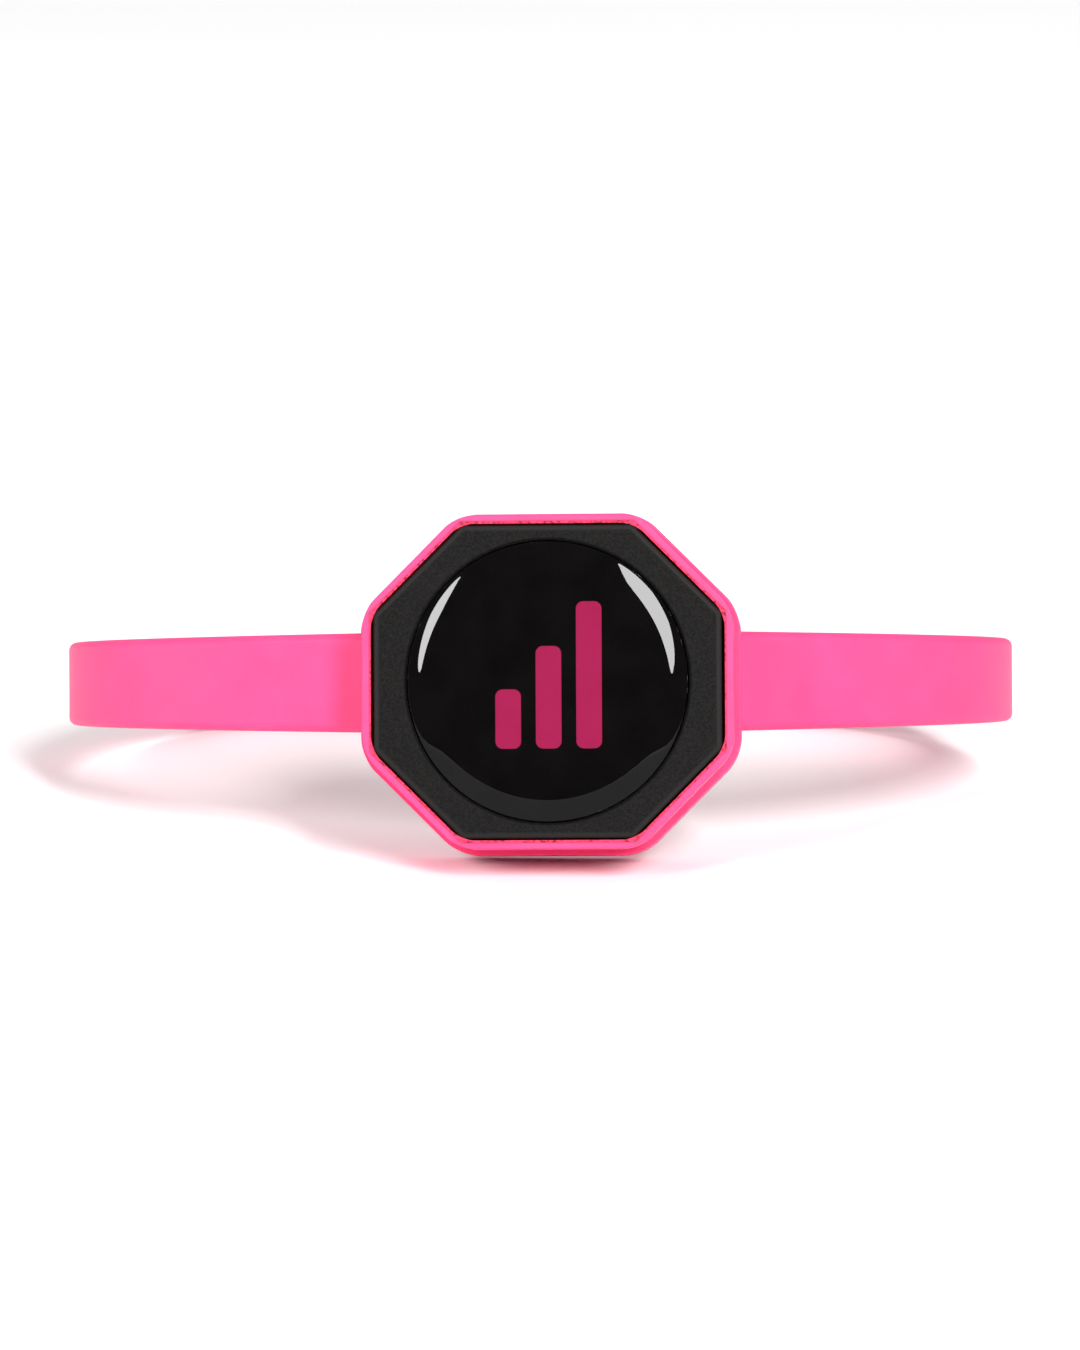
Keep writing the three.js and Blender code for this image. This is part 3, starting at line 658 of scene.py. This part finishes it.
case_seam, bezel_underside, bezel_face = 3.6, 8.3, 9.15
case_wall, case_corner, recess_radius = 0.8, 0.75, 10.5
post_radius, screw_hole_radius = 0.85, 0.55
recess_flare_depth = 0.26  # below the face, where the recess starts to open out
screw_places = [(sx * (module_width / 2 - 1.95), sy * (module_height / 2 - 7.25))
                for sx in (-1, 1) for sy in (-1, 1)]

black = Finish("black_plastic", Specular_IOR_Level=0.09)
black_skin = black.grain(5.5, 0.12)
on_bezel = black.add("Group", node_tree=pod_group)
# A lighter line along the top of the bevelled rim, all round: a painted highlight.
rim_highlight = black.both(black.step(on_bezel.outputs["Spread"], -0.50, -0.28),
                    black.step(on_bezel.outputs["Level"], bezel_face - 0.35, bezel_face - 0.1))
pigment = black.colours(
    black_skin.outputs["Height"],
    (0.40, (0.0030, 0.0027, 0.0026)), (0.62, (0.0082, 0.0075, 0.0072)))
black.link(black.mix(rim_highlight, pigment, (0.016, 0.0152, 0.0145)), black.shader.inputs["Base Color"])
black.between(black_skin.outputs["Patches"], 0.50, 0.62, "Roughness")
black.bump(black_skin.outputs["Height"], 0.03)

bezel = eight_sided("front_bezel_shell", 0, case_seam, bezel_face, case_corner)
round_edges(bezel, 0.4, 3, level_at(bezel_face))
bpy.ops.object.mode_set(mode="OBJECT")
hollow = eight_sided("hollow", -case_wall, case_seam - 1, bezel_underside, case_corner)
bpy.ops.object.mode_set(mode="OBJECT")
carve(bezel, hollow)
for screw_x, screw_y in screw_places:
    carve(bezel, drum(post_radius, 2.4, bezel_underside + 0.3, screw_x, screw_y, 24), "UNION")
    carve(bezel, drum(screw_hole_radius, 2, 5.2, screw_x, screw_y, 16))
flare_start = bezel_face - recess_flare_depth
recess = drum(recess_radius, bezel_underside - 2, flare_start, steps=144)
bpy.ops.object.mode_set(mode="EDIT")
pick(recess, "FACE", level_at(flare_start))
for wider, higher in ((0.16, 0.20), (0.08, 0.06), (0.4, 0.14)):
    raise_face(higher)
    flare = 1 + wider / recess_radius
    bpy.ops.transform.resize(value=(flare, flare, 1), center_override=(0, 0, 0))
bpy.ops.object.mode_set(mode="OBJECT")
carve(bezel, recess)
put_in_place(bezel, pod_seat, black.material, "black_plastic", "front_bezel")
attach(bezel, "module")

# ---------------------------------------------------------------- lens
# The glossy domed button: a clear dome, printed black behind, with three rising bars left
# open for the coloured print. Its crown is nearly flat and rolls down steeply to the rim.

lens_radius, lens_bottom, lens_edge_top = 10.4, 8.35, 9.05
slopes = (  # radius, degrees
    (10.4, 28), (10.3, 21.5), (10.2, 18.3), (10.0, 16.6), (9.7, 15.3), (9.4, 14.1), (9.2, 12.8),
    (9.0, 10.6), (8.75, 6.9), (8.5, 3.4), (8.3, 1.8), (8.0, 1.1), (0.0, 0.0),
)

lens = drum(lens_radius, lens_bottom, lens_edge_top, steps=144)
lens.name = "dome_lens_shell"
bpy.ops.object.mode_set(mode="EDIT")
pick(lens, "FACE", level_at(lens_edge_top))
for (outer, steep), (inner, gentle) in zip(slopes, slopes[1:]):
    steps = 3 if inner else 12
    run = (outer - inner) / (steps if inner else steps + 0.5)
    for i in range(steps):
        slope = steep + (gentle - steep) * (i + 0.5) / steps
        bpy.ops.mesh.inset(thickness=run, depth=run * math.tan(math.radians(slope)))
round_edges(lens, 0.06, 2, level_at(lens_edge_top))

gloss = Finish("gloss_black", Coat_Weight=1.0, Coat_Roughness=0.015, Coat_IOR=1.26,
               Specular_IOR_Level=0.0)
on_lens = gloss.add("Group", node_tree=pod_group)
flat_place = gloss.add("VectorMath", operation="MULTIPLY")
flat_place.inputs[1].default_value = (1, 1, 0)
gloss.link(on_lens.outputs["Place"], flat_place.inputs[0])


def bar(centre_x, low, high, width, corner):
    """How far a point on the face lies outside a bar with round corners."""
    shift = gloss.add("VectorMath", operation="SUBTRACT")
    shift.inputs[1].default_value = (centre_x, (low + high) / 2, 0)
    fold = gloss.add("VectorMath", operation="ABSOLUTE")
    inner = gloss.add("VectorMath", operation="SUBTRACT")
    inner.inputs[1].default_value = (width / 2 - corner, (high - low) / 2 - corner, 1)
    outside = gloss.add("VectorMath", operation="MAXIMUM")
    distance = gloss.add("VectorMath", operation="LENGTH")
    gloss.link(flat_place.outputs["Vector"], shift.inputs[0])
    gloss.link(shift.outputs["Vector"], fold.inputs[0])
    gloss.link(fold.outputs["Vector"], inner.inputs[0])
    gloss.link(inner.outputs["Vector"], outside.inputs[0])
    gloss.link(outside.outputs["Vector"], distance.inputs[0])
    return distance.outputs["Value"]


bar_foot, bar_width, bar_corner, print_blur = -5.0, 1.9, 0.55, 0.02
bars = [bar(x, bar_foot, high, bar_width, bar_corner)
        for x, high in ((-2.9, -0.6), (0.1, 2.6), (3.1, 5.9))]
nearest = bars[0]
for other in bars[1:]:
    smaller = gloss.add("Math", operation="MINIMUM")
    gloss.link(nearest, smaller.inputs[0])
    gloss.link(other, smaller.inputs[1])
    nearest = smaller.outputs["Value"]
print_mask = gloss.step(nearest, bar_corner + print_blur, bar_corner - print_blur)
ink = gloss.grain(14, 0.35)
ink_colour = gloss.colours(
    ink.outputs["Height"], (0.35, (0.220, 0.0102, 0.048)), (0.65, (0.245, 0.0121, 0.055)))
depth_colour = gloss.colours(
    ink.outputs["Patches"], (0.3, (0.0022, 0.0019, 0.0019)), (0.7, (0.0034, 0.0030, 0.0030)))
gloss.link(gloss.mix(print_mask, depth_colour, ink_colour),
           gloss.shader.inputs["Base Color"])
smears = gloss.grain(0.25, 0.5)
gloss.between(smears.outputs["Patches"], 0.03, 0.09, "Roughness")
put_in_place(lens, pod_seat, gloss.material, "gloss_black", "dome_lens", crease=50)
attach(lens, "button")

# ---------------------------------------------------------------- battery door
# A round black cap in the back of the case, turned with a coin. It shows through the
# round window in the cradle's skin side.

door_radius, door_body, door_skin, door_flange_top, door_top = 10.45, 9.85, 1.0, 1.5, 2.1
slot_length, slot_width, slot_depth = 12.0, 1.6, 0.3
rim_width = 2.35  # outside the shallow ring groove that marks the door's outline
groove_slope, groove_floor, groove_depth = 0.12, 0.28, 0.14

door = drum(door_radius, door_skin, door_flange_top, steps=96)
door.name = "battery_door_cap"
bpy.ops.object.mode_set(mode="EDIT")
pick(door, "FACE", level_at(door_flange_top))
bpy.ops.mesh.inset(thickness=door_radius - door_body)
raise_face(door_top - door_flange_top)
pick(door, "FACE", level_at(door_skin))
bpy.ops.mesh.inset(thickness=rim_width)
bpy.ops.mesh.inset(thickness=groove_slope, depth=-groove_depth)
bpy.ops.mesh.inset(thickness=groove_floor)
bpy.ops.mesh.inset(thickness=groove_slope, depth=groove_depth)
round_edges(door, 0.1, 2, lambda e: level_at(door_skin)(e) and middle(e).xy.length > 10)
bpy.ops.object.mode_set(mode="OBJECT")
bpy.ops.object.select_all(action="DESELECT")
bpy.ops.mesh.primitive_cube_add(size=1, location=(0, 0, door_skin))
coin_slot = bpy.context.object
coin_slot.scale = (slot_length, slot_width, 2 * slot_depth)
bpy.ops.object.transform_apply(location=True, rotation=True, scale=True)
bpy.ops.object.mode_set(mode="EDIT")
round_edges(coin_slot, slot_width / 2 - 0.01, 8, upright)
bpy.ops.object.mode_set(mode="OBJECT")
carve(door, coin_slot)
put_in_place(door, pod_seat, black.material, "black_plastic", "battery_door")
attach(door, "door")

# ---------------------------------------------------------------- rear case, seals, screws
# The rear half of the case is from the same black plastic. Two soft rubber seals keep
# water out, and four small steel screws hold the halves together.


def refinish(material, *nodes):
    for name in nodes:
        node = frame["nodes"][name]
        node.data.materials.clear()
        node.data.materials.append(material)


refinish(black.material, "rear_case")
refinish(steel.material, "case_screw_1", "case_screw_2", "case_screw_3", "case_screw_4")

rubber = Finish("black_rubber", Specular_IOR_Level=0.3)
rubber_skin = rubber.grain(4, 0.4)
rubber.link(rubber.colours(rubber_skin.outputs["Height"], (0.3, (0.010, 0.010, 0.011)),
                           (0.7, (0.022, 0.022, 0.023))), rubber.shader.inputs["Base Color"])
rubber.between(rubber_skin.outputs["Patches"], 0.7, 0.9, "Roughness")
rubber.bump(rubber_skin.outputs["Height"], 0.02)
refinish(rubber.material, "case_seal", "door_seal", "lens_return_ring")

# ---------------------------------------------------------------- printed film
# The thin plastic film that lies behind the dome. It is screen printed in black and held
# between the lens and the button plate.

film = Finish("printed_film")
film_skin = film.grain(12, 0.2)
film.link(film.colours(film_skin.outputs["Height"], (0.3, (0.006, 0.006, 0.006)),
                       (0.7, (0.012, 0.011, 0.011))), film.shader.inputs["Base Color"])
film.between(film_skin.outputs["Patches"], 0.30, 0.42, "Roughness")
film.bump(film_skin.outputs["Height"], 0.003)
refinish(film.material, "graphic_film")

# ---------------------------------------------------------------- tray, plunger, plate, mask
# Small moulded parts inside the case. The battery tray and the switch's plunger are in
# natural-coloured plastic. The button plate and the light mask are black, so that no light
# leaks past the lens.

inner_plastic = Finish("inner_plastic")
inner_skin = inner_plastic.grain(5, 0.4)
inner_plastic.link(
    inner_plastic.colours(inner_skin.outputs["Patches"], (0.3, (0.42, 0.41, 0.38)),
                          (0.7, (0.50, 0.49, 0.46))), inner_plastic.shader.inputs["Base Color"])
inner_plastic.between(inner_skin.outputs["Height"], 0.40, 0.60, "Roughness")
inner_plastic.bump(inner_skin.outputs["Height"], 0.01)
refinish(inner_plastic.material, "battery_tray", "switch_plunger")
refinish(black.material, "button_plate", "light_mask")

# ---------------------------------------------------------------- circuit board
# Glass cloth in resin, with copper and a very dark green solder mask over it, painted this dark
# as the shade seen in the gap round the lens. A faint weave of the cloth shows through. It
# carries the chips, the lights and the switch.
board = Finish("green_board", Coat_Weight=0.3, Coat_Roughness=0.2)
board_place = board.add("TexCoord")
weave = board.add("TexWave", wave_type="BANDS", bands_direction="DIAGONAL")
weave.inputs["Scale"].default_value = 900
weave.inputs["Distortion"].default_value = 1.5
board.link(board_place.outputs["Object"], weave.inputs["Vector"])
board.link(board.colours(weave.outputs["Fac"], (0.2, (0.002, 0.010, 0.005)),
                         (0.8, (0.003, 0.016, 0.008))), board.shader.inputs["Base Color"])
board.between(weave.outputs["Fac"], 0.30, 0.42, "Roughness")
board.bump(weave.outputs["Fac"], 0.005)
refinish(board.material, "main_board")

# ---------------------------------------------------------------- chips
# Chip packages, moulded in black epoxy with a fine matte grain and soldered flat to the
# board.
chip = Finish("chip_epoxy")
chip_skin = chip.grain(16, 0.2)
chip.link(chip.colours(chip_skin.outputs["Height"], (0.3, (0.014, 0.014, 0.015)),
                       (0.7, (0.032, 0.032, 0.034))), chip.shader.inputs["Base Color"])
chip.between(chip_skin.outputs["Patches"], 0.55, 0.75, "Roughness")
chip.bump(chip_skin.outputs["Height"], 0.01)
refinish(chip.material, "bluetooth_chip", "accelerometer", "memory_chip")

# ---------------------------------------------------------------- antenna and lights
# Small white ceramic bodies, fired and soldered to the board: the antenna and the three
# lights.
ceramic = Finish("ceramic", Coat_Weight=0.2)
ceramic_skin = ceramic.grain(10, 0.3)
ceramic.link(ceramic.colours(ceramic_skin.outputs["Height"], (0.3, (0.66, 0.65, 0.61)),
                             (0.7, (0.78, 0.77, 0.73))), ceramic.shader.inputs["Base Color"])
ceramic.between(ceramic_skin.outputs["Patches"], 0.25, 0.45, "Roughness")
ceramic.bump(ceramic_skin.outputs["Height"], 0.005)
refinish(ceramic.material, "chip_antenna", "light_left", "light_middle", "light_right")

# ---------------------------------------------------------------- cell, switch, contacts
# Pressed steel with a thin nickel plate: the coin cell's can, the switch, the crystal's can
# and the two spring contacts.
nickel = Finish("nickel_plate", Metallic=1.0)
nickel_skin = nickel.grain(8, 0.5)
nickel.link(nickel.colours(nickel_skin.outputs["Patches"], (0.3, (0.60, 0.58, 0.53)),
                           (0.7, (0.70, 0.68, 0.63))), nickel.shader.inputs["Base Color"])
nickel.between(nickel_skin.outputs["Height"], 0.20, 0.38, "Roughness")
nickel.bump(nickel_skin.outputs["Height"], 0.003)
refinish(nickel.material, "coin_cell", "tact_switch", "clock_crystal",
         "negative_contact", "positive_contact")
